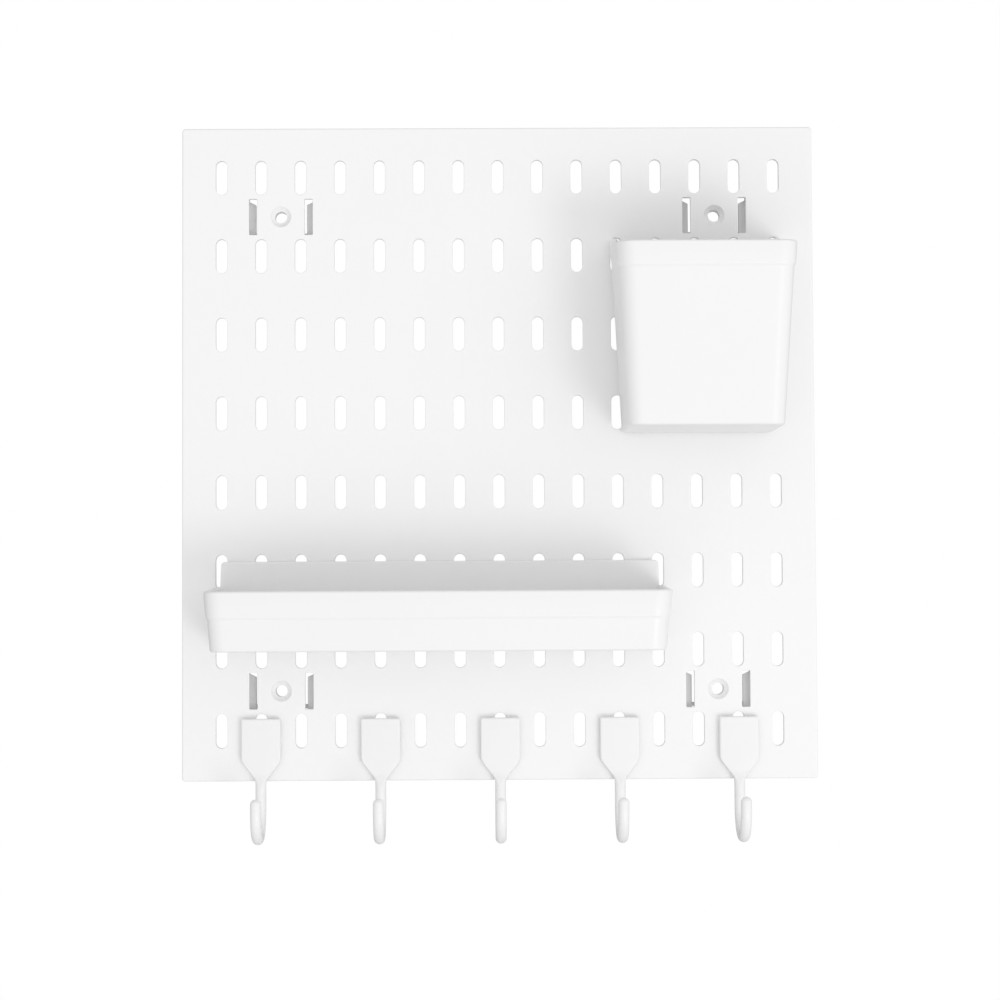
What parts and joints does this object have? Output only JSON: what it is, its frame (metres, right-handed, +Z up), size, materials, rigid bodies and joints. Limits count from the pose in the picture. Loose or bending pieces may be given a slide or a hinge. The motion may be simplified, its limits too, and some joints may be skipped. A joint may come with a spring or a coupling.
{
  "type": "pegboard tool wall",
  "caption": "Square white plastic pegboard with vertical slots, on adhesive wall clips, holding a pen cup, a long shallow tray and single J hooks.",
  "frame": {"origin": "centre of the slot grid, on the wall plane that the tapes stick to", "axes": "+Z up, -Y out of the wall towards the user, +X to the right seen from the front"},
  "size_m": [0.28, 0.0721, 0.3152],
  "materials": {
    "white_plastic": "satin injection-moulded ABS",
    "accessory_plastic": "smooth satin injection-moulded ABS",
    "clip_plastic": "pale grey moulded plastic",
    "foam_tape": "matt foam tape"
  },
  "bodies": {
    "wall_clips": {"wall_clip_top_left": "clip_plastic", "wall_clip_top_right": "clip_plastic", "wall_clip_bottom_left": "clip_plastic", "wall_clip_bottom_right": "clip_plastic", "adhesive_tape_top_left": "foam_tape", "adhesive_tape_top_right": "foam_tape", "adhesive_tape_bottom_left": "foam_tape", "adhesive_tape_bottom_right": "foam_tape"},
    "panel": {"pegboard_panel": "white_plastic"},
    "cup": {"pen_cup": "accessory_plastic"},
    "tray": {"shelf_tray": "accessory_plastic"},
    "hook_1": {"hook_1": "accessory_plastic"},
    "hook_2": {"hook_2": "accessory_plastic"},
    "hook_3": {"hook_3": "accessory_plastic"},
    "hook_4": {"hook_4": "accessory_plastic"},
    "hook_5": {"hook_5": "accessory_plastic"}
  },
  "joints": [
    {"name": "panel_lift", "type": "slide", "parent": "wall_clips", "child": "panel", "axis": [0, 0, 1], "range_m": [0, 0.0052]},
    {"name": "cup_lift", "type": "slide", "parent": "panel", "child": "cup", "axis": [0, 0, 1], "range_m": [0, 0.0085]},
    {"name": "tray_lift", "type": "slide", "parent": "panel", "child": "tray", "axis": [0, 0, 1], "range_m": [0, 0.0085]},
    {"name": "hook_1_lift", "type": "slide", "parent": "panel", "child": "hook_1", "axis": [0, 0, 1], "range_m": [0, 0.0085]},
    {"name": "hook_2_lift", "type": "slide", "parent": "panel", "child": "hook_2", "axis": [0, 0, 1], "range_m": [0, 0.0085]},
    {"name": "hook_3_lift", "type": "slide", "parent": "panel", "child": "hook_3", "axis": [0, 0, 1], "range_m": [0, 0.0085]},
    {"name": "hook_4_lift", "type": "slide", "parent": "panel", "child": "hook_4", "axis": [0, 0, 1], "range_m": [0, 0.0085]},
    {"name": "hook_5_lift", "type": "slide", "parent": "panel", "child": "hook_5", "axis": [0, 0, 1], "range_m": [0, 0.0085]}
  ]
}
